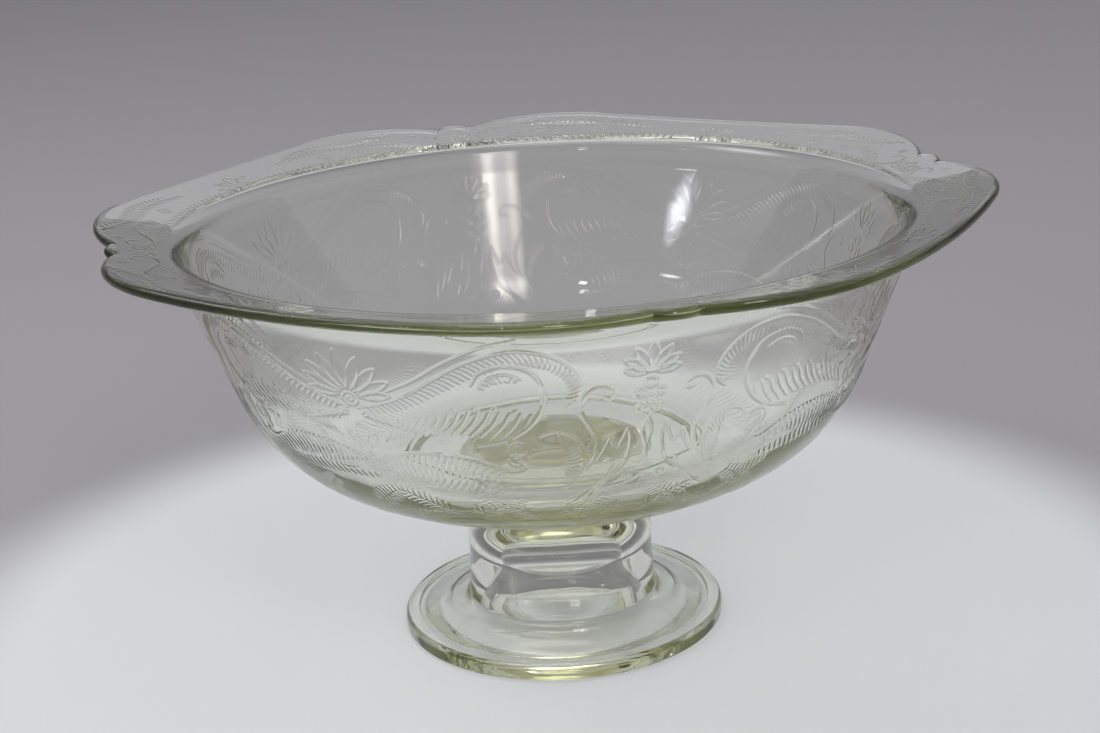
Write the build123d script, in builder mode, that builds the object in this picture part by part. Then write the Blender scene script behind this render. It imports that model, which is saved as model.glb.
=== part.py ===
from build123d import *

import os
from math import cos, hypot, radians, sin

# A footed glass serving bowl: a round bowl with a scalloped brim, bonded on a hollow pedestal.
# Millimetres, +Z up. The origin is the centre of the pedestal's foot, on the surface it stands on.

os.makedirs("parts", exist_ok=True)

# Pedestal, outside
pedestal_height = 48.0
foot_radius = 46.9
foot_lower_round = 0.8
foot_edge_height = 3.0
flange_height = 4.5
flange_land = 2.4
groove_width = 2.4
groove_depth = 0.5
shoulder_height = 7.6
shoulder_bulge = 0.5
neck_radius = 27.4
neck_foot_round = 1.5
neck_waist_depth = 0.5
neck_top_flare = 0.6
neck_top_round = 0.9

# Pedestal, hollow from below
foot_ring_width = 11.9
neck_wall = 6.6
neck_top_thickness = 14.0
hollow_throat_height = 13.0
hollow_flare_sag = 2.6
hollow_roof_radius = 4.0
hollow_roof_round = 13.0

# Adhesive bond between the two glass pieces, set in from the neck's flat top
bond_inset = 1.6
bond_thickness = 0.5

# Bowl, from the base up
base_radius = 45.0
base_ring_inset = 3.0
base_ring_half_width = 1.6
base_ring_depth = 0.7
floor_thickness = 7.0
heel_radius = 46.8
inner_heel_radius = 40.0
wall_thickness = 4.2
wall_lean = 20.5
wall_height = 63.0
collar_radius = 20.0
collar_lean = 4.0
root_round = 3.0
brim_rise = 10.5
brim_thickness = 3.0
brim_width = 24.78
inner_roll_radius = 7.0
rim_flat = 0.5

# Outline of the brim, seen from above, repeated once per quarter and mirrored about each notch.
# The lobes reach the full brim width beyond the wall's top, and the other points stay inside them.
quarters = 4
lobe_angle = 15.0
flank_inset = 1.3
flank_angle = 24.0
side_inset = 6.5
cusp_inset = 7.6
cusp_angle = 2.7
nub_inset = 5.3
cusp_round = 0.8


def polar(radius, angle):
    """The point of the plan view at this radius, this many degrees round from +X."""
    return (radius * cos(radians(angle)), radius * sin(radians(angle)))


def stays_beyond(edge, radius):
    """True if both ends of the edge are further than this radius from the bowl's axis."""
    return min(hypot(end.X, end.Y) for end in (edge @ 0, edge @ 1)) > radius


# Pedestal: one pressed piece, closed at the top and hollow from below
flange_inner_radius = foot_radius - flange_land - (flange_height - foot_edge_height)
groove_inner_radius = flange_inner_radius - groove_width
neck_foot_height = shoulder_height + neck_foot_round
neck_top_radius = neck_radius + neck_top_flare
neck_top_height = pedestal_height - neck_top_round
hollow_mouth_radius = foot_radius - foot_ring_width
hollow_throat_radius = neck_radius - neck_wall
hollow_roof_height = pedestal_height - neck_top_thickness

with BuildPart() as pedestal:
    with BuildSketch(Plane.XZ) as pedestal_section:
        with BuildLine() as pedestal_outline:
            edge_top = (foot_radius, foot_edge_height)
            flange_edge = (foot_radius - flange_height + foot_edge_height, flange_height)
            flange_inner = (flange_inner_radius, flange_height)
            groove_inner = (groove_inner_radius, flange_height)
            shoulder = (neck_radius + neck_foot_round, shoulder_height)
            neck_foot = (neck_radius, neck_foot_height)
            neck_top = (neck_top_radius, neck_top_height)
            waist = (neck_radius - neck_waist_depth, (neck_foot_height + neck_top_height) / 2)
            top_edge = (neck_top_radius - neck_top_round, pedestal_height)
            throat = (hollow_throat_radius, hollow_throat_height)
            roof_edge = (hollow_roof_radius, hollow_roof_height)
            roof_side = (hollow_roof_radius + hollow_roof_round, hollow_roof_height - hollow_roof_round)
            Line((hollow_mouth_radius, 0), (foot_radius - foot_lower_round, 0))
            RadiusArc((foot_radius - foot_lower_round, 0), (foot_radius, foot_lower_round), -foot_lower_round)
            Line((foot_radius, foot_lower_round), edge_top)
            RadiusArc(edge_top, flange_edge, foot_edge_height - flange_height)
            Line(flange_edge, flange_inner)
            SagittaArc(flange_inner, groove_inner, groove_depth)
            SagittaArc(groove_inner, shoulder, -shoulder_bulge)
            TangentArc(shoulder, neck_foot, tangent=(0, 1), tangent_from_first=False)
            ThreePointArc(neck_foot, waist, neck_top)
            RadiusArc(neck_top, top_edge, -neck_top_round)
            Line(top_edge, (0, pedestal_height))
            Line((0, pedestal_height), (0, hollow_roof_height))
            Line((0, hollow_roof_height), roof_edge)
            RadiusArc(roof_edge, roof_side, hollow_roof_round)
            Line(roof_side, throat)
            SagittaArc(throat, (hollow_mouth_radius, 0), -hollow_flare_sag)
        make_face()
    revolve(axis=Axis.Z)
pedestal.part.label = "pedestal"
export_step(pedestal.part, "parts/pedestal.step")

# Adhesive bond: a thin disc that fills the joint between the pedestal's top and the bowl's base
bond_radius = neck_top_radius - neck_top_round - bond_inset

with BuildPart() as adhesive_bond:
    with BuildSketch(Plane.XY.offset(pedestal_height)) as bond_outline:
        Circle(bond_radius)
    extrude(amount=bond_thickness)
adhesive_bond.part.label = "adhesive_bond"
export_step(adhesive_bond.part, "parts/adhesive_bond.step")

# Bowl: base, round heel, leaning wall, short collar and a flared brim cut to the scalloped outline
base_height = pedestal_height + bond_thickness
floor_height = base_height + floor_thickness
base_ring_radius = base_radius - base_ring_inset
heel_turn = 90 - wall_lean
lean_cos = cos(radians(wall_lean))
lean_sin = sin(radians(wall_lean))
rise_cos = cos(radians(brim_rise))
rise_sin = sin(radians(brim_rise))
outer_heel_end = (base_radius + heel_radius * lean_cos, base_height + heel_radius * (1 - lean_sin))
outer_wall_offset = outer_heel_end[0] * lean_cos - outer_heel_end[1] * lean_sin
inner_wall_offset = outer_wall_offset - wall_thickness
inner_centre_height = floor_height + inner_heel_radius
inner_floor_radius = (inner_wall_offset - inner_heel_radius + inner_centre_height * lean_sin) / lean_cos
wall_rise = base_height + wall_height - outer_heel_end[1]
wall_length = wall_rise / lean_cos
lobe_radius = outer_heel_end[0] + wall_rise * lean_sin / lean_cos + brim_width
flank_radius = lobe_radius - flank_inset
side_radius = lobe_radius - side_inset
cusp_radius = lobe_radius - cusp_inset
nub_radius = lobe_radius - nub_inset
brim_run = lobe_radius - base_radius
rim_round = (brim_thickness - rim_flat) / 2

with BuildPart() as bowl:
    with BuildSketch(Plane.XZ) as bowl_section:
        with BuildLine() as bowl_outline:
            ring_inner = (base_ring_radius - base_ring_half_width, base_height)
            ring_outer = (base_ring_radius + base_ring_half_width, base_height)
            Line((0, base_height), ring_inner)
            SagittaArc(ring_inner, ring_outer, -base_ring_depth)
            Line(ring_outer, (base_radius, base_height))
            heel = JernArc((base_radius, base_height), (1, 0), heel_radius, heel_turn)
            wall = PolarLine(heel @ 1, wall_length, direction=heel % 1)
            collar = JernArc(wall @ 1, wall % 1, collar_radius, wall_lean - collar_lean)
            root = JernArc(collar @ 1, collar % 1, root_round, collar_lean + brim_rise - 90)
            underside = PolarLine(root @ 1, brim_run, direction=root % 1)
            top_edge = underside @ 1 + Vector(-rise_sin, rise_cos) * brim_thickness
            brim_offset = top_edge.Y * rise_cos - top_edge.X * rise_sin
            turn = lean_cos * rise_cos - lean_sin * rise_sin
            corner_radius = (inner_wall_offset * rise_cos + brim_offset * lean_sin) / turn
            corner_height = (inner_wall_offset * rise_sin + brim_offset * lean_cos) / turn
            roll_corner = (corner_radius, corner_height)
            Line(underside @ 1, top_edge)
            Line(top_edge, roll_corner)
            inner_heel = JernArc(
                (inner_floor_radius, floor_height), (1, 0), inner_heel_radius, heel_turn
            )
            Line(roll_corner, inner_heel @ 1)
            Line((inner_floor_radius, floor_height), (0, floor_height))
            Line((0, floor_height), (0, base_height))
        make_face()
        roll_vertex = bowl_section.vertices().sort_by_distance((corner_radius, corner_height))[0]
        fillet(roll_vertex, radius=inner_roll_radius)
    revolve(axis=Axis.Z)
    with BuildSketch(Plane.XY.offset(base_height - base_ring_depth)) as brim_plan:
        with BuildLine() as brim_outline:
            for quarter in range(quarters):
                notch = quarter * 360 / quarters
                middle = notch + 180 / quarters
                following = notch + 360 / quarters
                first_cusp = polar(cusp_radius, notch + cusp_angle)
                first_flank = polar(flank_radius, notch + flank_angle)
                second_flank = polar(flank_radius, following - flank_angle)
                second_cusp = polar(cusp_radius, following - cusp_angle)
                ThreePointArc(
                    polar(cusp_radius, notch - cusp_angle), polar(nub_radius, notch), first_cusp
                )
                ThreePointArc(first_cusp, polar(lobe_radius, notch + lobe_angle), first_flank)
                ThreePointArc(first_flank, polar(side_radius, middle), second_flank)
                ThreePointArc(second_flank, polar(lobe_radius, following - lobe_angle), second_cusp)
        make_face()
        cusps = brim_plan.vertices().group_by(SortBy.DISTANCE)[0]
        fillet(cusps, radius=cusp_round)
    extrude(amount=top_edge.Y, mode=Mode.INTERSECT)
    rim_start = cusp_radius - cusp_round - brim_thickness
    rim_edges = bowl.edges().filter_by(lambda edge: stays_beyond(edge, rim_start))
    fillet(rim_edges.filter_by(GeomType.LINE, reverse=True), radius=rim_round)
bowl.part.label = "bowl"
export_step(bowl.part, "parts/bowl.step")
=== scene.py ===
"""Looks of the footed punch bowl: clear pressed glass with a raised scroll-and-leaf pattern."""

from math import atan2, ceil, cos, hypot, pi, radians, sin, sqrt, tan

import bmesh
import bpy
import numpy as np
from mathutils import Matrix, Vector


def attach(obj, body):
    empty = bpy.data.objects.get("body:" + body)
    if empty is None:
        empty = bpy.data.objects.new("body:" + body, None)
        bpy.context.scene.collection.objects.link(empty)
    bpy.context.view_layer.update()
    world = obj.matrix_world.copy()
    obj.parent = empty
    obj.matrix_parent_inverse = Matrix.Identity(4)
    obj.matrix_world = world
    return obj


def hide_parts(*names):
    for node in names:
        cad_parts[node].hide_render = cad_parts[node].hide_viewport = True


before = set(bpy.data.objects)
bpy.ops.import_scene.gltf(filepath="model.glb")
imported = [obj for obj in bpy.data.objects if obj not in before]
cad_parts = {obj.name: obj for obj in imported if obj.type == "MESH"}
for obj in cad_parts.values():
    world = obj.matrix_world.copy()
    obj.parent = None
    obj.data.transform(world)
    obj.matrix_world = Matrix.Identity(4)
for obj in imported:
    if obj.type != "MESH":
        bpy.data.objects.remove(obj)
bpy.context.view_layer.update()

MM = 0.001

# ---------------------------------------------------------------- sizes, in millimetres and degrees
# They repeat the CAD model's sizes, or points worked out from them, as these pieces stand for its nodes.
PEDESTAL_HEIGHT = 48.0
FOOT_RADIUS = 46.9
FOOT_LOWER_ROUND = 0.8
FOOT_EDGE_HEIGHT = 3.0
FLANGE_HEIGHT = 4.5
FLANGE_LAND = 2.4
GROOVE_WIDTH = 2.4
GROOVE_DEPTH = 0.5
SHOULDER = (28.9, 7.6)
SHOULDER_BULGE = 0.5
NECK_FOOT = (27.4, 9.1)
NECK_WAIST_RADIUS = 26.9
NECK_TOP_RADIUS = 28.0
NECK_TOP_ROUND = 0.9
MOUTH_RADIUS = 35.0
THROAT = (20.8, 13.0)
FLARE_SAG = 2.6
ROOF_RADIUS = 4.0
ROOF_HEIGHT = 34.0
ROOF_ROUND = 13.0
BOND_RADIUS = 25.5
BOND_THICKNESS = 0.5
BOND_OVERLAP = 0.03  # the film reaches this far into each glass piece, as in optical contact
BASE_RADIUS = 45.0
BASE_RING_RADIUS = 42.0
BASE_RING_HALF_WIDTH = 1.6
BASE_RING_DEPTH = 0.7
FLOOR_THICKNESS = 7.0
HEEL_RADIUS = 46.8
INNER_HEEL_RADIUS = 40.0
WALL_THICKNESS = 4.2
WALL_LEAN = 20.5
COLLAR_FOOT_HEIGHT = 111.5
COLLAR_RADIUS = 20.0
COLLAR_LEAN = 4.0
ROOT_ROUND = 3.0
BRIM_RISE = 10.5
BRIM_THICKNESS = 3.0
INNER_ROLL_RADIUS = 7.0
BRIM_WIDTH = 24.78
LOBE_ANGLE = 15.0
FLANK_INSET = 1.3
FLANK_ANGLE = 24.0
SIDE_INSET = 6.5
CUSP_INSET = 7.6
CUSP_ANGLE = 2.7
NUB_INSET = 5.3

BASE_HEIGHT = PEDESTAL_HEIGHT + BOND_THICKNESS
FLOOR_HEIGHT = BASE_HEIGHT + FLOOR_THICKNESS

# The bowl's mesh: columns all the way round, then rows and point spacing along its profile
COLUMNS = 2160
QUARTER = COLUMNS // 4
HALF_QUARTER = QUARTER // 2
BRIM_ROWS = 55
RIM_ROWS = 12
BRIM_TOP_ROWS = 13
FINE_STEP = 0.32
ROLL_STEP = 0.6
INNER_HEEL_STEP = 1.0
PLAIN_STEP = 1.6

# The raised pattern: its height, the heel's share of it, and the width over which it fades at the rim
RELIEF_HEIGHT = 0.135
HEEL_SHARE = 0.45
RIM_FADE = 1.2

# Its strokes: half width, sample spacing, how far out and how steeply the height falls off beside a
# stroke, and how far ahead and behind a course is looked at to find its direction
LINE_HALF_WIDTH = 0.30
STROKE_SPACING = 0.16
STROKE_REACH = 3.0
STROKE_POWER = 1.3
STROKE_FALLOFF = 0.9
TANGENT_SPAN = 0.4

# Its flat charts: the radius at which an angle becomes a distance, and the middle of a quarter
CHART_RADIUS = 95.0
CHART_MIDDLE = radians(45) * CHART_RADIUS
BRIM_CHART_RADIUS = 112.0
BRIM_CHART_MIDDLE = radians(45) * BRIM_CHART_RADIUS

# Point spacing along the profiles of the pedestal and the bond, and their columns
TIGHT_STEP = 0.2
CLOSE_STEP = 0.5
EDGE_STEP = 0.6
FLAT_STEP = 1.0
TOP_STEP = 1.5
NECK_ROWS = 39
PEDESTAL_COLUMNS = 256
FILM_STEP = 0.8
FILM_EDGE_STEP = 0.1
FILM_COLUMNS = 240
PATCH_STEP = 0.5
PATCH_COLUMNS = 120

# The film's flat faces end this far inside the bond's radius, and its edge bulges out from there. Its
# outline has waves, each with a depth, a count and a phase, and is drawn in by the depth of both.
FILM_EDGE = 0.4
FILM_WAVES = ((0.05, 3, 0.6), (0.035, 7, 2.1))
FILM_DRAW_IN = 0.085


# ---------------------------------------------------------------- plane curves: lists of (radius, height)
def line(start, end, step):
    """Points on a straight run, without its first point."""
    count = max(1, ceil(hypot(end[0] - start[0], end[1] - start[1]) / step))
    return [
        (start[0] + (end[0] - start[0]) * i / count, start[1] + (end[1] - start[1]) * i / count)
        for i in range(1, count + 1)
    ]


def turn(start, heading, radius, angle, step):
    """Points on an arc that leaves start in the direction heading and turns left by angle, in degrees."""
    side = 1 if angle > 0 else -1
    centre = (
        start[0] - side * radius * sin(radians(heading)),
        start[1] + side * radius * cos(radians(heading)),
    )
    count = max(2, ceil(radius * abs(radians(angle)) / step))
    first = radians(heading) - side * pi / 2
    return [
        (
            centre[0] + radius * cos(first + radians(angle) * i / count),
            centre[1] + radius * sin(first + radians(angle) * i / count),
        )
        for i in range(1, count + 1)
    ]


def bulge(start, end, sagitta, step):
    """Points on the arc from start to end that stands sagitta to the left of its chord."""
    dx, dy = end[0] - start[0], end[1] - start[1]
    chord = hypot(dx, dy)
    radius = (chord * chord / 4 + sagitta * sagitta) / (2 * abs(sagitta))
    half = atan2(chord / 2, radius - abs(sagitta))
    side = 1 if sagitta > 0 else -1
    heading = atan2(dy, dx) + side * half
    return turn(start, heading * 180 / pi, radius, -side * 2 * half * 180 / pi, step)


# ---------------------------------------------------------------- the raised pattern, on a flat chart
# x is the distance round the wall from a notch, y the distance up the outer profile from the edge of
# the base. Only half of a quarter is drawn: it is mirrored about the notch and the quarter's middle.
def smooth(points, spacing=STROKE_SPACING):
    """A Catmull-Rom curve through the points, sampled at about this spacing."""
    p = [np.array(q, float) for q in points]
    p = [2 * p[0] - p[1]] + p + [2 * p[-1] - p[-2]]
    out = []
    for i in range(1, len(p) - 2):
        count = max(2, int(np.linalg.norm(p[i + 1] - p[i]) / spacing))
        t = np.linspace(0, 1, count, endpoint=False)[:, None]
        out.append(
            0.5
            * (
                2 * p[i]
                + (p[i + 1] - p[i - 1]) * t
                + (2 * p[i - 1] - 5 * p[i] + 4 * p[i + 1] - p[i + 2]) * t**2
                + (3 * p[i] - p[i - 1] - 3 * p[i + 1] + p[i + 2]) * t**3
            )
        )
    return np.vstack(out + [p[-2][None, :]])


def stroke(points, width=1.0, taper=0.35):
    """One raised line: its sampled course and its half width at each sample, thinner towards the ends."""
    course = smooth(points)
    t = np.linspace(0, 1, len(course))
    shape = taper + (1 - taper) * np.sin(pi * np.clip(t, 0, 1)) ** 0.5
    return course, LINE_HALF_WIDTH * width * shape


def ring(x, y, radius, width=0.8):
    """A raised circle."""
    a = np.linspace(0, 2 * pi, max(12, int(2 * pi * radius / STROKE_SPACING)))
    course = np.c_[x + radius * np.cos(a), y + radius * np.sin(a)]
    return course, np.full(len(a), LINE_HALF_WIDTH * width)


def spiral(x, y, outer, inner, start, turns, width=0.9):
    """A volute that winds inwards from the angle start, in degrees; turns below zero winds clockwise."""
    count = max(24, int(abs(turns) * 2 * pi * outer / STROKE_SPACING))
    t = np.linspace(0, 1, count)
    a = radians(start) + 2 * pi * turns * t
    r = outer + (inner - outer) * t
    return np.c_[x + r * np.cos(a), y + r * np.sin(a)], LINE_HALF_WIDTH * width * (1 - 0.4 * t)


def leaf(x, y, length, angle, fatness, width=0.75):
    """The outline of one pointed leaf that grows from (x, y) at this angle."""
    c, s = cos(radians(angle)), sin(radians(angle))
    edge = [(0.0, 0.0), (0.35, 0.75), (0.65, 0.9), (0.9, 0.4), (1.0, 0.0)]
    out = []
    for side in (fatness, -fatness):
        points = [
            (x + c * u * length - s * v * side, y + s * u * length + c * v * side) for u, v in edge
        ]
        out.append(stroke(points, width, 0.7))
    return out


def barbs(points, spacing, length, lean, side, start=0.0, end=1.0, curl=0.25, width=0.75):
    """A row of short curved strokes along a course, as on a feather. lean is the angle off the course."""
    course = smooth(points)
    steps = np.linalg.norm(np.diff(course, axis=0), axis=1)
    along = np.r_[0, np.cumsum(steps)]
    total = along[-1]
    out = []
    for at in np.arange(start * total, end * total, spacing):
        share = (at / total - start) / max(end - start, 1e-6)
        here = np.array([np.interp(at, along, course[:, k]) for k in (0, 1)])
        ahead = np.array([np.interp(min(at + TANGENT_SPAN, total), along, course[:, k]) for k in (0, 1)])
        behind = np.array([np.interp(max(at - TANGENT_SPAN, 0), along, course[:, k]) for k in (0, 1)])
        d = (ahead - behind) / max(np.linalg.norm(ahead - behind), 1e-6)
        a = radians(lean) * side
        e = np.array([d[0] * cos(a) - d[1] * sin(a), d[0] * sin(a) + d[1] * cos(a)])
        n = np.array([-e[1], e[0]]) * side
        size = length * (0.55 + 0.45 * sin(pi * min(max(share, 0.02), 0.98)))
        bend = here + e * size * 0.55 + n * curl * size * 0.5
        tip = here + e * size + n * curl * size * 1.6
        out.append(stroke([here, bend, tip], width))
    return out


def wall_pattern():
    """The strokes on the wall, for half of a quarter."""
    middle = CHART_MIDDLE
    out = []
    # Spray of petals, bead chain and thin fleur at the notch
    for angle, length in ((90, 8.6), (62, 8.2), (36, 7.2), (10, 6.0)):
        out += leaf(0.7 * cos(radians(angle)), 83.6, length, angle, 1.25)
    beads = ((0, 80.4, 1.5), (2.6, 77.4, 1.15), (0, 75.2, 1.3), (2.3, 72.9, 0.9), (0, 71.2, 0.8))
    out += [ring(*bead) for bead in beads]
    out += [stroke([(0, 70), (1.2, 66), (0, 60), (0.6, 54)], 0.8)]
    fleur = [(12.8, 57.4), (10.6, 61.5), (9.4, 64.4), (8.4, 62.2), (7.2, 61.6), (5.9, 64.6), (5.0, 67.4)]
    out += [stroke(fleur)]
    out += [stroke([(5.0, 67.4), (4.2, 64), (4.6, 59.5), (6.3, 55.1), (11.8, 49.9), (18.4, 43.6)], 1.1)]
    out += [ring(4.6, 51.4, 0.95), stroke([(8.2, 56.5), (10.5, 51), (13.6, 46.5), (15.0, 43.4)], 0.7)]
    # S-curve beside the spray
    s_curve = [
        (9.0, 78.6), (11.0, 80.2), (13.8, 80.0), (16.2, 77.0), (16.7, 73.2),
        (14.6, 68.7), (12.9, 64.1), (13.3, 59.4), (15.4, 55.2),
    ]
    out += [stroke(s_curve, 1.1), stroke([(9.0, 78.6), (9.6, 76.9), (11.2, 77.6)], 0.8)]
    # C-scroll with a comb inside
    c_scroll = [
        (27.9, 63.2), (27.0, 66.4), (22.9, 67.8), (18.1, 65.4), (16.2, 59.6), (17.6, 53.2), (21.5, 48.6),
    ]
    out += [stroke(c_scroll, 1.15)]
    out += barbs(c_scroll, 1.5, 4.6, 58, 1, 0.22, 0.9, 0.2)
    # Volute on a long stem that runs to the middle of the quarter
    out += [spiral(32.4, 62.6, 3.4, 0.7, -60, 1.7)]
    stem = [
        (34.1, 59.6), (31.0, 57.0), (34.5, 55.6), (39.5, 57.4),
        (46.0, 59.8), (56.0, 60.8), (66.0, 59.4), (middle, 55.4),
    ]
    out += [stroke(stem, 1.1)]
    out += barbs(stem, 2.0, 7.2, 52, -1, 0.2, 0.97, 0.32)
    fringe = [(middle, 50.0), (62, 49.4), (48, 48.6), (36, 47.8)]
    out += barbs(fringe, 2.1, 4.0, 40, -1, 0.0, 0.95, 0.25, 0.65)
    # Large feathered garland
    garland = [
        (middle - 1.5, 73.4), (66.0, 75.4), (58.0, 79.0), (50.5, 84.2), (42.0, 89.4), (33.0, 92.4),
        (25.0, 91.4), (19.6, 87.6), (17.0, 82.6), (17.2, 78.0), (19.6, 75.6),
    ]
    out += [stroke(garland, 1.1)]
    out += barbs(garland, 1.55, 4.4, 42, 1, 0.04, 0.98, 0.25)
    inner_line = [(64.0, 79.2), (56.0, 83.4), (47.5, 89.2), (39.0, 93.6), (31.0, 95.4)]
    out += [stroke(inner_line, 0.7)]
    # Open inner scroll and its hook
    inner = [
        (42.0, 82.6), (39.6, 86.4), (34.0, 88.4), (28.4, 86.6), (25.6, 81.6),
        (26.0, 75.2), (29.4, 69.6), (35.0, 65.8), (43.0, 63.6),
    ]
    hook = [(40.4, 81.6), (37.8, 84.8), (33.6, 85.8)]
    out += [stroke(inner, 1.2), stroke(hook + [(30.2, 84.2)], 0.8)]
    out += barbs(hook + [(30.0, 84.0)], 1.5, 2.4, 75, 1, 0.05, 0.95, 0.1, 0.7)
    # Long slanting leaf veins inside the scroll
    for i in range(15):
        share = i / 14
        x = 28.6 + 35.0 * share
        y = 73.4 + 3.2 * sin(pi * share) - 4.6 * share
        size = 8.6 - 2.6 * share
        vein = [(x, y), (x + 0.26 * size, y - 0.48 * size), (x + 0.72 * size, y - 0.98 * size)]
        out += [stroke(vein, 0.95)]
        if i % 2:
            out += [stroke([(x + 0.9, y + 1.2), (x + 1.8, y + 0.2)], 0.7)]
    out += [spiral(33.2, 58.9, 2.4, 0.6, 150, -1.3, 0.8)]
    # Palmette in the middle of the quarter
    petals = ((90, 12.5, 1.9), (112, 11.5, 1.5), (133, 11.0, 1.5), (153, 10.6, 1.4), (172, 9.0, 1.2))
    for angle, length, fat in petals:
        foot = (middle + 3.0 * cos(radians(angle)), 76.6 + 2.2 * sin(radians(angle)))
        out += leaf(*foot, length, angle, fat)
    out += [ring(middle, 76.0, 2.0, 0.8), ring(middle, 76.0, 0.7, 0.8)]
    for i in range(6):
        reach = 6.0 + 2.4 * i
        ray = [
            (middle - 2.2, 73.0 - 0.4 * i),
            (middle - 0.55 * reach, 72.4 - 0.62 * i),
            (middle - reach, 69.0 - 0.35 * i),
        ]
        out += [stroke(ray, 0.85)]
    out += leaf(middle, 60.6, 8.0, 90, 2.2)
    out += leaf(middle - 1.0, 60.8, 6.4, 128, 1.2)
    out += [ring(middle, 57.6, 1.1)]
    out += [stroke([(middle - 2.0, 55.2), (middle - 6.5, 52.6), (middle - 12, 52.2)], 0.8)]
    # Row of small scales under the collar
    for i in range(18):
        x = 38.0 + 2.05 * i
        out += [stroke([(x, 97.0), (x + 0.8, 98.3), (x + 1.7, 98.4)], 0.6)]
    return out


def heel_pattern():
    """The slanting leaves round the heel, for half of a quarter."""
    out = []
    for x0, way in ((3.0, 1), (24.0, -1), (30.0, 1), (51.0, -1), (56.0, 1)):
        spine = [(x0, 24.0), (x0 + way * 6.0, 30.0), (x0 + way * 13.5, 36.2), (x0 + way * 19.0, 39.8)]
        out += [stroke(spine, 1.0)]
        out += barbs(spine, 2.0, 5.2, 44, 1, 0.05, 0.95, 0.2, 0.7)
        out += barbs(spine, 2.0, 4.6, 44, -1, 0.05, 0.95, 0.2, 0.7)
    for i in range(19):
        x = 2.0 + 4.0 * i
        out += [stroke([(x, 9.0), (x + 1.0, 14.0), (x + 0.4, 19.5)], 0.9)]
    return out


def brim_pattern():
    """The strokes under the brim: y is the distance out from its root."""
    middle = BRIM_CHART_MIDDLE
    out = []
    out += leaf(0, 3.0, 6.5, 90, 1.6) + leaf(0.8, 3.4, 6.0, 52, 1.3) + leaf(1.2, 3.4, 5.2, 16, 1.0)
    scroll = [
        (12.5, 7.4), (10.6, 9.6), (7.6, 9.0), (6.6, 6.0), (9.0, 3.4),
        (14.0, 3.2), (20.0, 6.6), (27.0, 9.8), (33.5, 9.0),
    ]
    out += [stroke(scroll, 1.1), spiral(33.6, 6.6, 2.5, 0.6, 90, -1.3, 0.8)]
    out += barbs(scroll, 1.7, 3.6, 46, -1, 0.3, 0.95, 0.2)
    wave = [
        (8.0, 14.6), (14.0, 17.6), (21.0, 17.0), (28.0, 13.8),
        (36.0, 12.4), (46.0, 13.8), (56.0, 12.0), (66.0, 9.6),
    ]
    out += [stroke(wave, 1.0)]
    out += barbs(wave, 1.8, 3.6, 42, 1, 0.04, 0.9, 0.2)
    out += barbs(wave, 1.8, 3.2, 42, -1, 0.25, 0.98, 0.2)
    out += [spiral(48.0, 7.0, 2.2, 0.6, 200, 1.3, 0.8)]
    out += [ring(14.0, 12.4, 0.9), ring(middle - 4.0, 6.4, 0.9)]
    out += leaf(middle, 2.6, 7.0, 90, 1.8)
    out += leaf(middle - 1.0, 3.0, 7.4, 140, 1.4)
    out += leaf(middle - 2.0, 2.4, 8.0, 170, 1.1)
    for i in range(22):
        x = 20.0 + 2.6 * i
        out += [stroke([(x, 1.2), (x + 0.9, 2.6)], 0.7)]
    return out


def raise_lines(strokes, x, y, middle):
    """The height of the pattern, 0 to 1, at chart positions x[column] and y[row, column]."""
    height = np.zeros(y.shape)
    for course, half_width in strokes:
        for copy in (course, course * (-1, 1), course * (-1, 1) + (2 * middle, 0)):
            reach = STROKE_REACH * half_width.max()
            lo, hi = copy.min(0) - reach, copy.max(0) + reach
            columns = np.nonzero((x >= lo[0]) & (x <= hi[0]))[0]
            if not len(columns):
                continue
            block = y[:, columns[0] : columns[-1] + 1]
            rows = np.nonzero(((block >= lo[1]) & (block <= hi[1])).any(axis=1))[0]
            if not len(rows):
                continue
            part = (slice(rows[0], rows[-1] + 1), slice(columns[0], columns[-1] + 1))
            px, py = np.broadcast_arrays(x[None, part[1]], y[part])
            d2 = (px[..., None] - copy[:, 0]) ** 2 + (py[..., None] - copy[:, 1]) ** 2
            bump = np.exp(-((d2 / half_width**2) ** STROKE_POWER) * STROKE_FALLOFF).max(axis=-1)
            height[part] = np.maximum(height[part], bump)
    return height


# ---------------------------------------------------------------- the bowl
LEAN = radians(WALL_LEAN)
RISE = radians(BRIM_RISE)
HEEL_TURN = 90 - WALL_LEAN
HEEL_END = (BASE_RADIUS + HEEL_RADIUS * cos(LEAN), BASE_HEIGHT + HEEL_RADIUS * (1 - sin(LEAN)))
WALL_TOP = (HEEL_END[0] + (COLLAR_FOOT_HEIGHT - HEEL_END[1]) * tan(LEAN), COLLAR_FOOT_HEIGHT)
OUTER_OFFSET = HEEL_END[0] * cos(LEAN) - HEEL_END[1] * sin(LEAN)
INNER_OFFSET = OUTER_OFFSET - WALL_THICKNESS
INNER_FLOOR_RADIUS = (
    INNER_OFFSET - INNER_HEEL_RADIUS + (FLOOR_HEIGHT + INNER_HEEL_RADIUS) * sin(LEAN)
) / cos(LEAN)
LOBE_RADIUS = WALL_TOP[0] + BRIM_WIDTH
FLANK_RADIUS = LOBE_RADIUS - FLANK_INSET
SIDE_RADIUS = LOBE_RADIUS - SIDE_INSET
CUSP_RADIUS = LOBE_RADIUS - CUSP_INSET
NUB_RADIUS = LOBE_RADIUS - NUB_INSET


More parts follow.
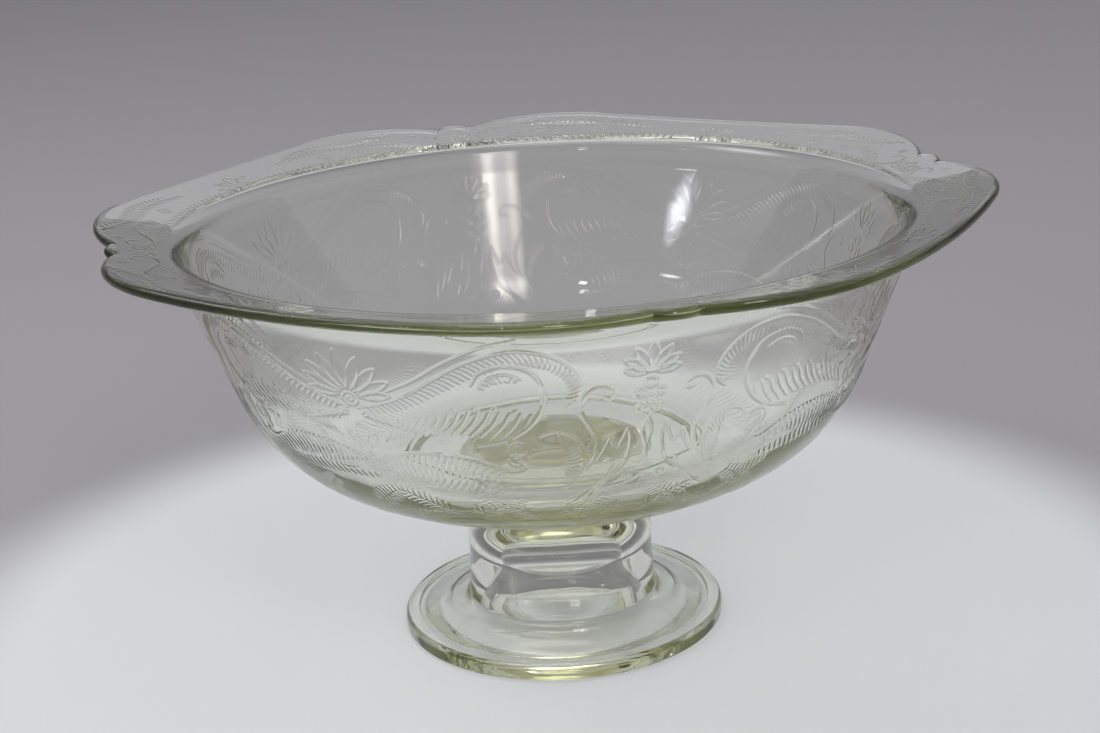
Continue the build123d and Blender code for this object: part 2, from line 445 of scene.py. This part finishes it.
def circle_through(a, b, c):
    """Centre and radius of the circle through three points."""
    ax, ay, bx, by, cx, cy = *a, *b, *c
    d = 2 * (ax * (by - cy) + bx * (cy - ay) + cx * (ay - by))
    ux = ((ax**2 + ay**2) * (by - cy) + (bx**2 + by**2) * (cy - ay) + (cx**2 + cy**2) * (ay - by)) / d
    uy = ((ax**2 + ay**2) * (cx - bx) + (bx**2 + by**2) * (ax - cx) + (cx**2 + cy**2) * (bx - ax)) / d
    return (ux, uy), hypot(ax - ux, ay - uy)


def polar(radius, angle):
    """The point of the plan view at this radius, this many degrees round from a notch."""
    return (radius * cos(radians(angle)), radius * sin(radians(angle)))


def rim_radius(angles):
    """The radius of the scalloped outline at each angle from a notch, from 0 to 45 degrees."""
    cusp = polar(CUSP_RADIUS, CUSP_ANGLE)
    flank = polar(FLANK_RADIUS, FLANK_ANGLE)
    nub_arc = circle_through(polar(CUSP_RADIUS, -CUSP_ANGLE), polar(NUB_RADIUS, 0), cusp)
    lobe_arc = circle_through(cusp, polar(LOBE_RADIUS, LOBE_ANGLE), flank)
    side_arc = circle_through(flank, polar(SIDE_RADIUS, 45), polar(FLANK_RADIUS, 90 - FLANK_ANGLE))
    arcs = ((CUSP_ANGLE, nub_arc), (FLANK_ANGLE, lobe_arc), (90.0, side_arc))
    out = []
    for angle in angles:
        (cx, cy), radius = next(circle for limit, circle in arcs if angle <= limit + 1e-9)
        along = cx * cos(radians(angle)) + cy * sin(radians(angle))
        out.append(along + sqrt(radius * radius - cx * cx - cy * cy + along * along))
    return np.array(out)


def bowl_profile():
    """The outer profile up to the brim's root, and the inner one from the brim's top to the floor."""
    base = [(0.0, BASE_HEIGHT)]
    ring_inner = (BASE_RING_RADIUS - BASE_RING_HALF_WIDTH, BASE_HEIGHT)
    ring_outer = (BASE_RING_RADIUS + BASE_RING_HALF_WIDTH, BASE_HEIGHT)
    base += line(base[-1], ring_inner, PLAIN_STEP)
    base += bulge(ring_inner, ring_outer, -BASE_RING_DEPTH, FINE_STEP)
    base += line(ring_outer, (BASE_RADIUS, BASE_HEIGHT), FINE_STEP)
    wall = turn(base[-1], 0, HEEL_RADIUS, HEEL_TURN, FINE_STEP)
    wall += line(wall[-1], WALL_TOP, FINE_STEP)
    wall += turn(wall[-1], 90 - WALL_LEAN, COLLAR_RADIUS, WALL_LEAN - COLLAR_LEAN, FINE_STEP)
    root = turn(wall[-1], 90 - COLLAR_LEAN, ROOT_ROUND, COLLAR_LEAN + BRIM_RISE - 90, FINE_STEP)
    root_end = root[-1]
    top_offset = (root_end[1] * cos(RISE) - root_end[0] * sin(RISE)) + BRIM_THICKNESS
    closing = cos(LEAN) * cos(RISE) - sin(LEAN) * sin(RISE)
    corner = (
        (INNER_OFFSET * cos(RISE) + top_offset * sin(LEAN)) / closing,
        (INNER_OFFSET * sin(RISE) + top_offset * cos(LEAN)) / closing,
    )
    roll_turn = 90 - WALL_LEAN - BRIM_RISE
    cut = INNER_ROLL_RADIUS * tan(radians(roll_turn / 2))
    roll_start = (corner[0] + cut * cos(RISE), corner[1] + cut * sin(RISE))
    inner = turn(roll_start, 180 + BRIM_RISE, INNER_ROLL_RADIUS, roll_turn, ROLL_STEP)
    inner_end = (
        INNER_FLOOR_RADIUS + INNER_HEEL_RADIUS * cos(LEAN),
        FLOOR_HEIGHT + INNER_HEEL_RADIUS * (1 - sin(LEAN)),
    )
    inner += line(inner[-1], inner_end, PLAIN_STEP)
    inner += turn(inner[-1], 270 - WALL_LEAN, INNER_HEEL_RADIUS, -HEEL_TURN, INNER_HEEL_STEP)
    inner += line(inner[-1], (0.0, FLOOR_HEIGHT), PLAIN_STEP * 2)
    return base, wall, root, roll_start, inner


def bowl_rows():
    """Radius and height of every mesh point, as arrays over row and half-quarter column."""
    base, wall, root, roll_start, inner = bowl_profile()
    angles = np.arange(HALF_QUARTER + 1) * 360 / COLUMNS
    ones = np.ones(len(angles))
    outline = rim_radius(angles)
    radius, height = [], []

    def add(points):
        for r, z in points:
            radius.append(r * ones)
            height.append(z * ones)

    add(base + wall + root)
    across = np.radians(angles) * CHART_RADIUS
    up = np.repeat(arc_length(wall)[:, None], len(angles), axis=1)
    chart = np.maximum(
        raise_lines(wall_pattern(), across, up, CHART_MIDDLE),
        raise_lines(heel_pattern(), across, up, CHART_MIDDLE) * HEEL_SHARE,
    )
    first = len(base)
    normal = outward(np.array([base[-1]] + wall + [root[0]]))
    for i in range(len(wall)):
        radius[first + i] = radius[first + i] + RELIEF_HEIGHT * chart[i] * normal[i + 1][0]
        height[first + i] = height[first + i] + RELIEF_HEIGHT * chart[i] * normal[i + 1][1]

    # The brim's underside runs out to the scalloped outline, rounds over it and comes back along the top
    root_r, root_z = root[-1]
    nose = BRIM_THICKNESS / 2
    share = np.linspace(0, 1, BRIM_ROWS + 1)[1:]
    reach = outline - nose - root_r
    flat = share[:, None] * reach[None, :]
    across = np.radians(angles) * BRIM_CHART_RADIUS
    brim_chart = raise_lines(brim_pattern(), across, flat, BRIM_CHART_MIDDLE)
    fade = np.clip((reach[None, :] - flat) / RIM_FADE, 0, 1)
    lift = RELIEF_HEIGHT * brim_chart * fade
    for i in range(len(share)):
        radius.append(root_r + flat[i] + lift[i] * sin(RISE))
        height.append(root_z + flat[i] * tan(RISE) - lift[i] * cos(RISE))
    middle_r = root_r + reach - nose * sin(RISE)
    middle_z = root_z + reach * tan(RISE) + nose * cos(RISE)
    for a in np.linspace(-90, 90, RIM_ROWS + 1)[1:]:
        around = radians(a) + RISE
        radius.append(middle_r + nose * cos(around))
        height.append(middle_z + nose * sin(around))
    edge_r = middle_r + nose * cos(pi / 2 + RISE)
    edge_z = middle_z + nose * sin(pi / 2 + RISE)
    for back in np.linspace(0, 1, BRIM_TOP_ROWS + 1)[1:]:
        radius.append((1 - back) * edge_r + back * roll_start[0])
        height.append((1 - back) * edge_z + back * roll_start[1])
    add(inner)
    return np.array(radius), np.array(height)


def arc_length(points):
    """The distance along a course of points, at each of them."""
    p = np.array(points)
    return np.r_[0, np.cumsum(np.hypot(*np.diff(p, axis=0).T))]


def outward(points):
    """Unit normals to the right of a course of points."""
    d = np.gradient(points, axis=0)
    d /= np.linalg.norm(d, axis=1)[:, None]
    return np.c_[d[:, 1], -d[:, 0]]


def grid_mesh(name, radius, height, columns):
    """A closed mesh turned about the Z axis; its first and last rows are on the axis."""
    rows = len(radius)
    angle = np.arange(columns) * 2 * pi / columns
    ring_points = np.stack(
        [
            radius[1:-1] * np.cos(angle),
            radius[1:-1] * np.sin(angle),
            height[1:-1] * np.ones(columns),
        ],
        axis=-1,
    ).reshape(-1, 3)
    ends = np.array([[0, 0, height[0].mean()], [0, 0, height[-1].mean()]])
    points = np.vstack([ring_points, ends]) * MM
    here = np.arange(columns)
    after = (here + 1) % columns
    band = np.arange(rows - 3)[:, None] * columns
    quads = np.stack(
        [band + here, band + after, band + columns + after, band + columns + here], axis=-1
    ).reshape(-1, 4)
    low, high = len(points) - 2, len(points) - 1
    last = (rows - 3) * columns
    fans = np.vstack(
        [
            np.stack([after, here, np.full(columns, low)], axis=-1),
            np.stack([last + here, last + after, np.full(columns, high)], axis=-1),
        ]
    )
    mesh = bpy.data.meshes.new(name)
    mesh.vertices.add(len(points))
    mesh.vertices.foreach_set("co", points.astype(np.float32).ravel())
    corners = np.concatenate([quads.ravel(), fans.ravel()])
    mesh.loops.add(len(corners))
    mesh.loops.foreach_set("vertex_index", corners.astype(np.int32))
    starts = np.concatenate(
        [np.arange(len(quads)) * 4, len(quads) * 4 + np.arange(len(fans)) * 3]
    )
    mesh.polygons.add(len(starts))
    mesh.polygons.foreach_set("loop_start", starts.astype(np.int32))
    mesh.update(calc_edges=True)
    mesh.validate()
    mesh.polygons.foreach_set("use_smooth", np.ones(len(starts), bool))
    piece = bpy.data.objects.new(name, mesh)
    bpy.context.scene.collection.objects.link(piece)
    return piece


def make_bowl():
    radius, height = bowl_rows()
    column = np.arange(COLUMNS) % QUARTER
    fold = np.minimum(column, QUARTER - column)
    return grid_mesh("bowl_glass", radius[:, fold], height[:, fold], COLUMNS)


# ---------------------------------------------------------------- pedestal and bond
def pedestal_profile():
    """The closed profile of the pedestal, from the roof of its hollow round to its top."""
    throat_side = (ROOF_RADIUS + ROOF_ROUND, ROOF_HEIGHT - ROOF_ROUND)
    top = PEDESTAL_HEIGHT - NECK_TOP_ROUND
    flange_top = (FOOT_RADIUS - FLANGE_HEIGHT + FOOT_EDGE_HEIGHT, FLANGE_HEIGHT)
    groove_outer = (FOOT_RADIUS - FLANGE_LAND - FLANGE_HEIGHT + FOOT_EDGE_HEIGHT, FLANGE_HEIGHT)
    groove_inner = (groove_outer[0] - GROOVE_WIDTH, FLANGE_HEIGHT)
    waist = (NECK_WAIST_RADIUS, (NECK_FOOT[1] + top) / 2)
    neck_top = (NECK_TOP_RADIUS, top)
    out = [(0.0, ROOF_HEIGHT)]
    out += line(out[-1], (ROOF_RADIUS, ROOF_HEIGHT), FLAT_STEP)
    out += turn(out[-1], 0, ROOF_ROUND, -90, CLOSE_STEP)
    out += line(throat_side, THROAT, FLAT_STEP)
    out += bulge(THROAT, (MOUTH_RADIUS, 0), -FLARE_SAG, CLOSE_STEP)
    out += line(out[-1], (FOOT_RADIUS - FOOT_LOWER_ROUND, 0), FLAT_STEP)
    out += turn(out[-1], 0, FOOT_LOWER_ROUND, 90, TIGHT_STEP)
    out += line(out[-1], (FOOT_RADIUS, FOOT_EDGE_HEIGHT), EDGE_STEP)
    out += turn(out[-1], 90, FLANGE_HEIGHT - FOOT_EDGE_HEIGHT, 90, TIGHT_STEP)
    out += line(flange_top, groove_outer, CLOSE_STEP)
    out += bulge(groove_outer, groove_inner, GROOVE_DEPTH, TIGHT_STEP)
    out += bulge(groove_inner, SHOULDER, -SHOULDER_BULGE, EDGE_STEP)
    out += turn(SHOULDER, 180, NECK_FOOT[1] - SHOULDER[1], -90, TIGHT_STEP)
    (cx, cz), neck_radius = circle_through(NECK_FOOT, waist, neck_top)
    out += [
        (cx - sqrt(neck_radius**2 - (z - cz) ** 2), z)
        for z in np.linspace(NECK_FOOT[1], top, NECK_ROWS + 1)[1:]
    ]
    out += turn(neck_top, 90, NECK_TOP_ROUND, 90, TIGHT_STEP)
    out += line(out[-1], (0.0, PEDESTAL_HEIGHT), TOP_STEP)
    return out


def make_lathe(name, profile, columns):
    """A round piece turned from a closed profile."""
    points = np.array(profile)
    return grid_mesh(name, points[:, :1] * np.ones(columns), points[:, 1:] * np.ones(columns), columns)


def wavy(columns, waves):
    """A wavy outline of 1 on average: each wave has a depth, a count round the outline and a phase."""
    angle = np.arange(columns) * 2 * pi / columns
    outline = np.ones(columns)
    for depth, count, phase in waves:
        outline = outline + depth * np.sin(count * angle + phase)
    return outline


def make_bond():
    """The cured film: it reaches a little into both glass pieces and has an uneven outline."""
    low, high = PEDESTAL_HEIGHT - BOND_OVERLAP, BASE_HEIGHT + BOND_OVERLAP
    profile = [(0.0, low)]
    profile += line(profile[-1], (BOND_RADIUS - FILM_EDGE, low), FILM_STEP)
    profile += bulge(profile[-1], (BOND_RADIUS - FILM_EDGE, high), -BOND_THICKNESS / 2, FILM_EDGE_STEP)
    profile += line(profile[-1], (0.0, high), FILM_STEP)
    points = np.array(profile)
    outline = wavy(FILM_COLUMNS, FILM_WAVES) - FILM_DRAW_IN
    heights = points[:, 1:] * np.ones(FILM_COLUMNS)
    return grid_mesh("bond_film", points[:, :1] * outline, heights, FILM_COLUMNS)


def make_bond_patch(name, centre, radius, squeeze, phase):
    """A patch inside the film: a flat pebble with a wavy outline, placed in the camera's turned frame."""
    middle = PEDESTAL_HEIGHT + BOND_THICKNESS / 2
    nose = BOND_THICKNESS / 2 - BOND_OVERLAP
    profile = [(0.0, middle - nose)]
    profile += line(profile[-1], (radius - nose, middle - nose), PATCH_STEP)
    profile += turn(profile[-1], 0, nose, 180, FILM_EDGE_STEP)
    profile += line(profile[-1], (0.0, middle + nose), PATCH_STEP)
    points = np.array(profile)
    outline = wavy(PATCH_COLUMNS, ((0.10, 2, phase), (0.07, 5, 2 * phase)))
    heights = points[:, 1:] * np.ones(PATCH_COLUMNS)
    piece = grid_mesh(name, points[:, :1] * outline, heights, PATCH_COLUMNS)
    spin = Matrix.Rotation(CAMERA_TURN, 4, "Z")
    shift = Matrix.Translation((centre[0] * MM, centre[1] * MM, 0))
    piece.data.transform(spin @ shift @ Matrix.Diagonal((squeeze, 1, 1, 1)))
    return piece


# ---------------------------------------------------------------- materials
GLASS_COLOUR = (0.985, 0.99, 0.97, 1)
GLASS_TINT = (0.40, 0.45, 0.0, 1)
GLASS_IOR = 1.52
ADHESIVE_IOR = 1.5
RIPPLE_DEPTH = 0.001
SMUDGE_ROUGHNESS = 0.05


def material(name):
    mat = bpy.data.materials.new(name)
    mat.use_nodes = True
    nodes = mat.node_tree.nodes
    return mat, nodes, mat.node_tree.links, nodes["Principled BSDF"]


def glass(name, bump_scale, bump_strength, smudge_scale, tint_density):
    """Clear pressed glass: a faint olive tint that deepens with the length of the path through it."""
    mat, nodes, links, shader = material(name)
    shader.inputs["Base Color"].default_value = GLASS_COLOUR
    shader.inputs["Transmission Weight"].default_value = 1.0
    shader.inputs["IOR"].default_value = GLASS_IOR
    coordinates = nodes.new("ShaderNodeTexCoord")
    ripple = nodes.new("ShaderNodeTexNoise")
    ripple.inputs["Scale"].default_value = bump_scale
    ripple.inputs["Detail"].default_value = 3.0
    links.new(coordinates.outputs["Object"], ripple.inputs["Vector"])
    bump = nodes.new("ShaderNodeBump")
    bump.inputs["Strength"].default_value = bump_strength
    bump.inputs["Distance"].default_value = RIPPLE_DEPTH
    links.new(ripple.outputs["Fac"], bump.inputs["Height"])
    links.new(bump.outputs["Normal"], shader.inputs["Normal"])
    smudge = nodes.new("ShaderNodeTexNoise")
    smudge.inputs["Scale"].default_value = smudge_scale
    smudge.inputs["Detail"].default_value = 5.0
    links.new(coordinates.outputs["Object"], smudge.inputs["Vector"])
    ramp = nodes.new("ShaderNodeMapRange")
    ramp.inputs["From Min"].default_value = 0.35
    ramp.inputs["From Max"].default_value = 0.75
    ramp.inputs["To Min"].default_value = 0.0
    ramp.inputs["To Max"].default_value = SMUDGE_ROUGHNESS
    links.new(smudge.outputs["Fac"], ramp.inputs["Value"])
    links.new(ramp.outputs["Result"], shader.inputs["Roughness"])
    inside = nodes.new("ShaderNodeVolumeAbsorption")
    inside.inputs["Color"].default_value = GLASS_TINT
    inside.inputs["Density"].default_value = tint_density
    links.new(inside.outputs["Volume"], nodes["Material Output"].inputs["Volume"])
    return mat


def adhesive(name, dark, light, roughness, transmission):
    """Cured adhesive, yellowed, with paler and darker clouds."""
    mat, nodes, links, shader = material(name)
    coordinates = nodes.new("ShaderNodeTexCoord")
    cloud = nodes.new("ShaderNodeTexNoise")
    cloud.inputs["Scale"].default_value = 160.0
    cloud.inputs["Detail"].default_value = 4.0
    links.new(coordinates.outputs["Object"], cloud.inputs["Vector"])
    ramp = nodes.new("ShaderNodeValToRGB")
    ramp.color_ramp.elements[0].position = 0.38
    ramp.color_ramp.elements[0].color = (*dark, 1)
    ramp.color_ramp.elements[1].position = 0.62
    ramp.color_ramp.elements[1].color = (*light, 1)
    links.new(cloud.outputs["Fac"], ramp.inputs["Fac"])
    links.new(ramp.outputs["Color"], shader.inputs["Base Color"])
    shader.inputs["Roughness"].default_value = roughness
    shader.inputs["IOR"].default_value = ADHESIVE_IOR
    shader.inputs["Transmission Weight"].default_value = transmission
    return mat


def paint(name, near_colour, far_colour, near_radius, far_radius):
    """A plain studio surface: one colour round the object, blending into another further out."""
    mat, nodes, links, shader = material(name)
    coordinates = nodes.new("ShaderNodeTexCoord")
    distance = nodes.new("ShaderNodeVectorMath")
    distance.operation = "LENGTH"
    links.new(coordinates.outputs["Object"], distance.inputs[0])
    spread = nodes.new("ShaderNodeMapRange")
    spread.interpolation_type = "SMOOTHSTEP"
    spread.inputs["From Min"].default_value = near_radius
    spread.inputs["From Max"].default_value = far_radius
    links.new(distance.outputs["Value"], spread.inputs["Value"])
    ramp = nodes.new("ShaderNodeValToRGB")
    ramp.color_ramp.elements[0].color = (*near_colour, 1)
    ramp.color_ramp.elements[1].color = (*far_colour, 1)
    links.new(spread.outputs["Result"], ramp.inputs["Fac"])
    links.new(ramp.outputs["Color"], shader.inputs["Base Color"])
    shader.inputs["Roughness"].default_value = 0.8
    return mat


# ---------------------------------------------------------------- stage, light and camera
CAMERA_TURN = radians(-14.0)
CAMERA_PLACE = (-0.00027, -0.52876, 0.24659)
CAMERA_PITCH = radians(17.869)
CAMERA_ROLL = radians(-3.154)
SENSOR_WIDTH = 36.0
LENS = 63.4
PAPER_CLEARANCE = 0.2  # faces that coincide render dark, so the paper lies this far below the foot

# The sweep under and round the object, in metres
SWEEP_RADIUS = 2.2
SWEEP_BEND = 0.4
SWEEP_HEIGHT = 0.9
SWEEP_SIDES = 96
PAPER_RADIUS = 0.16
TABLE_RADIUS = 0.22
PAPER_COLOUR = (0.78, 0.79, 0.81)
TABLE_COLOUR = (0.37, 0.36, 0.37)

# Area lights: name, position and aim in metres, width and height in metres, power in watts, colour and
# softness. Two narrow panes and a wide one make up the window that shows in the glass.
WARM = (1.0, 0.94, 0.87)
LAMPS = (
    ("window_left", (0.19, -0.95, 0.76), (0, 0, 0.1), (0.13, 0.50), 1.0, WARM, 0.5),
    ("window_right", (0.35, -0.93, 0.76), (0, 0, 0.1), (0.13, 0.50), 1.5, WARM, 0.5),
    ("side_lamp", (-0.72, -0.47, 0.52), (0, 0, 0.1), (0.20, 0.06), 0.7, (0.93, 0.97, 1.0), 0.5),
    ("front_lamp", (-0.30, -0.95, 0.90), (0, 0, 0.0), (0.09, 0.09), 0.9, (0.95, 0.98, 1.0), 0.45),
    ("window", (0.30, -0.93, 0.80), (0, 0, 0.1), (0.40, 0.60), 4.5, (1.0, 0.96, 0.92), 0.5),
    ("left_softbox", (-0.85, 0.05, 0.95), (0, 0, 0.02), (0.8, 0.8), 8.0, (1.0, 1.0, 1.0), 0.5),
    ("overhead", (-0.15, 0.10, 1.30), (0, 0.05, 0), (1.2, 1.0), 7.0, (1.0, 1.0, 1.0), 0.3),
)


def make_camera():
    data = bpy.data.cameras.new("camera")
    data.lens = LENS
    data.sensor_width = SENSOR_WIDTH
    data.clip_start = 0.01
    camera = bpy.data.objects.new("camera", data)
    bpy.context.scene.collection.objects.link(camera)
    down, level = sin(CAMERA_PITCH), cos(CAMERA_PITCH)
    tilt = Matrix(((1, 0, 0), (0, -down, -level), (0, level, -down)))
    roll = Matrix(
        (
            (cos(CAMERA_ROLL), -sin(CAMERA_ROLL), 0),
            (sin(CAMERA_ROLL), cos(CAMERA_ROLL), 0),
            (0, 0, 1),
        )
    )
    right, below, forward = roll @ tilt
    axes = Matrix((right, -below, -forward)).transposed().to_4x4()
    spin = Matrix.Rotation(CAMERA_TURN, 4, "Z")
    camera.matrix_world = spin @ Matrix.Translation(CAMERA_PLACE) @ axes
    bpy.context.scene.camera = camera


def fade_edges(light, softness):
    """Lets an area light fall off smoothly over this share of its width at each edge."""
    light.use_nodes = True
    nodes, links = light.node_tree.nodes, light.node_tree.links
    across = nodes.new("ShaderNodeNewGeometry")
    split = nodes.new("ShaderNodeSeparateXYZ")
    links.new(across.outputs["Parametric"], split.inputs["Vector"])
    level = None
    for axis in ("X", "Y"):
        fold = nodes.new("ShaderNodeMath")
        fold.operation = "PINGPONG"
        fold.inputs[1].default_value = 0.5
        links.new(split.outputs[axis], fold.inputs[0])
        ramp = nodes.new("ShaderNodeMapRange")
        ramp.interpolation_type = "SMOOTHSTEP"
        ramp.inputs["From Max"].default_value = softness
        links.new(fold.outputs[0], ramp.inputs["Value"])
        if level is None:
            level = ramp.outputs["Result"]
        else:
            product = nodes.new("ShaderNodeMath")
            product.operation = "MULTIPLY"
            links.new(level, product.inputs[0])
            links.new(ramp.outputs["Result"], product.inputs[1])
            links.new(product.outputs[0], nodes["Emission"].inputs["Strength"])


def make_light(name, position, aim, size, power, colour, softness):
    """An area light, placed and aimed in the frame that is turned with the camera."""
    data = bpy.data.lights.new(name, "AREA")
    data.shape = "RECTANGLE"
    data.size, data.size_y = size
    data.energy = power
    data.color = colour
    fade_edges(data, softness)
    light = bpy.data.objects.new(name, data)
    bpy.context.scene.collection.objects.link(light)
    spin = Matrix.Rotation(CAMERA_TURN, 3, "Z")
    at, to = spin @ Vector(position), spin @ Vector(aim)
    light.location = at
    light.rotation_euler = (to - at).to_track_quat("-Z", "Y").to_euler()
    return light


def make_stage():
    """A round sweep, pale round the object and darker further out, that curves up at its edge."""
    profile = [(SWEEP_RADIUS * share, 0.0) for share in (0.1, 0.4, 1.0)]
    for degrees in range(10, 91, 10):
        angle = radians(degrees)
        profile += [(SWEEP_RADIUS + SWEEP_BEND * sin(angle), SWEEP_BEND * (1 - cos(angle)))]
    profile += [(SWEEP_RADIUS + SWEEP_BEND, SWEEP_HEIGHT)]
    around = [2 * pi * i / SWEEP_SIDES for i in range(SWEEP_SIDES)]
    bm = bmesh.new()
    middle = bm.verts.new((0, 0, -PAPER_CLEARANCE * MM))
    rows = [
        [bm.verts.new((r * cos(a), r * sin(a), z - PAPER_CLEARANCE * MM)) for a in around]
        for r, z in profile
    ]
    for i in range(SWEEP_SIDES):
        after = (i + 1) % SWEEP_SIDES
        bm.faces.new((middle, rows[0][i], rows[0][after]))
        for low, high in zip(rows, rows[1:]):
            bm.faces.new((low[i], high[i], high[after], low[after])).smooth = True
    mesh = bpy.data.meshes.new("studio_sweep")
    bm.to_mesh(mesh)
    bm.free()
    sweep = bpy.data.objects.new("studio_sweep", mesh)
    bpy.context.scene.collection.objects.link(sweep)
    mesh.materials.append(paint("pale_paper", PAPER_COLOUR, TABLE_COLOUR, PAPER_RADIUS, TABLE_RADIUS))
    return sweep


def shine_through_glass(light, sweep):
    """Only the sweep casts this light's shadow, so the paper stays lit under the clear glass."""
    casters = bpy.data.collections.new("shadow_casters")
    bpy.context.scene.collection.children.link(casters)
    casters.objects.link(sweep)
    light.light_linking.blocker_collection = casters


def make_world():
    world = bpy.data.worlds.new("studio")
    bpy.context.scene.world = world
    world.use_nodes = True
    back = world.node_tree.nodes["Background"]
    back.inputs["Color"].default_value = (0.80, 0.80, 0.84, 1)
    back.inputs["Strength"].default_value = 0.72
    bpy.context.scene.view_settings.view_transform = "Standard"
    # Light is reflected many times inside a thick edge before it comes out
    paths = bpy.context.scene.cycles
    paths.max_bounces = 32
    paths.glossy_bounces = 24
    paths.transmission_bounces = 32


# ---------------------------------------------------------------- everything together
def stand_in(piece, node, mat):
    """Gives a piece its material, attaches it to the root body and hides the CAD node it stands for."""
    piece.data.materials.append(mat)
    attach(piece, "root")
    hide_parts(node)


make_camera()
sweep = make_stage()
make_world()
lights = {lamp[0]: make_light(*lamp) for lamp in LAMPS}
shine_through_glass(lights["overhead"], sweep)

stand_in(
    make_bowl(),
    "bowl",
    glass("bowl_glass", bump_scale=28.0, bump_strength=0.10, smudge_scale=55.0, tint_density=11.0),
)
stand_in(
    make_lathe("pedestal_glass", pedestal_profile(), PEDESTAL_COLUMNS),
    "pedestal",
    glass("pedestal_glass", bump_scale=34.0, bump_strength=0.30, smudge_scale=60.0, tint_density=6.5),
)
stand_in(
    make_bond(),
    "adhesive_bond",
    adhesive(
        "cured_adhesive", (0.78, 0.76, 0.44), (0.94, 0.94, 0.78), roughness=0.12, transmission=0.95
    ),
)
stand_in(
    make_bond_patch("bond_clouded_patch", centre=(13.5, 13.0), radius=5.6, squeeze=1.0, phase=0.9),
    "adhesive_bond",
    adhesive(
        "clouded_adhesive", (0.80, 0.74, 0.42), (0.96, 0.93, 0.70), roughness=0.5, transmission=0.0
    ),
)
stand_in(
    make_bond_patch("bond_amber_spot", centre=(20.6, 4.5), radius=3.8, squeeze=0.75, phase=2.2),
    "adhesive_bond",
    adhesive("amber_adhesive", (0.46, 0.24, 0.05), (0.70, 0.46, 0.16), roughness=0.4, transmission=0.0),
)
